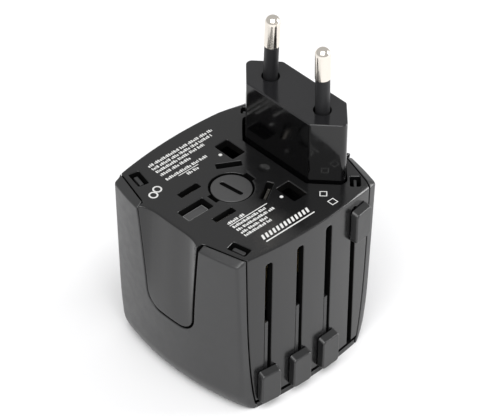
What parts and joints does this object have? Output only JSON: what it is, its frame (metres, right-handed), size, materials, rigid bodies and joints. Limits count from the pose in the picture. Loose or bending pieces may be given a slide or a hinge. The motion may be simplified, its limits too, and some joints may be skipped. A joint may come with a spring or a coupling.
{
  "type": "universal travel adapter",
  "caption": "Boxy black travel adapter with sliding plug pins on top, raised Euro plug block, finger knobs in slots, twist fuse cap and shuttered socket below.",
  "frame": {"origin": "centre of the socket face, which the adapter stands on", "axes": "+Z from the socket face to the plug face, knobs on -Y, Euro plug block towards +X"},
  "size_m": [0.0532, 0.0517, 0.0882],
  "materials": {
    "housing_plastic": "fine satin grain",
    "shell_plastic": "satin",
    "knob_plastic": "satin",
    "cap_plastic": "matt, grainy",
    "gloss_plastic": "gloss",
    "inner_plastic": "satin",
    "nickel": "bright nickel plate",
    "brass": "rolled",
    "steel": "zinc plated",
    "fuse_glass": "clear, with plated ends"
  },
  "bodies": {
    "housing": {"main_housing": "housing_plastic", "side_shell_left": "shell_plastic", "side_shell_right": "shell_plastic", "base_plate": "housing_plastic", "socket_block": "inner_plastic", "neutral_contact": "brass", "live_contact": "brass", "live_rail": "brass", "fuse": "fuse_glass", "fuse_spring": "steel", "shutter_spring": "steel", "base_screw_front_left": "steel", "base_screw_back_left": "steel", "base_screw_front_right": "steel", "base_screw_back_right": "steel"},
    "fuse_cap": {"fuse_cap": "cap_plastic", "cap_contact": "brass"},
    "shutter": {"shutter": "inner_plastic"},
    "us_plug": {"us_carriage": "inner_plastic", "us_knob": "knob_plastic", "us_live_blade": "nickel", "us_neutral_blade": "nickel"},
    "au_plug": {"au_carriage": "inner_plastic", "au_knob": "knob_plastic", "au_live_blade": "nickel", "au_neutral_blade": "nickel"},
    "uk_plug": {"uk_carriage": "inner_plastic", "uk_knob": "knob_plastic", "uk_live_pin": "brass", "uk_neutral_pin": "brass", "uk_earth_pin": "inner_plastic"},
    "euro_plug": {"euro_block": "gloss_plastic", "euro_knob": "knob_plastic", "euro_live_pin": "nickel", "euro_live_sleeve": "gloss_plastic", "euro_neutral_pin": "nickel", "euro_neutral_sleeve": "gloss_plastic"}
  },
  "joints": [
    {"name": "us_slide", "type": "slide", "parent": "housing", "child": "us_plug", "axis": [0, 0, 1], "range_m": [0, 0.0187]},
    {"name": "au_slide", "type": "slide", "parent": "housing", "child": "au_plug", "axis": [0, 0, 1], "range_m": [0, 0.0187]},
    {"name": "uk_slide", "type": "slide", "parent": "housing", "child": "uk_plug", "axis": [0, 0, 1], "range_m": [0, 0.0225]},
    {"name": "euro_slide", "type": "slide", "parent": "housing", "child": "euro_plug", "axis": [0, 0, 1], "range_m": [-0.0372, 0]},
    {"name": "cap_turn", "type": "hinge", "parent": "housing", "child": "fuse_cap", "pos_m": [-0.0047, 0, 0.05], "axis": [0, 0, 1], "range_deg": [0, 90]},
    {"name": "shutter_slide", "type": "slide", "parent": "housing", "child": "shutter", "axis": [1, 0, 0], "range_m": [0, 0.0084], "stiffness_N_per_m": 15, "springref_m": -0.002, "deforming": ["shutter_spring"]}
  ]
}
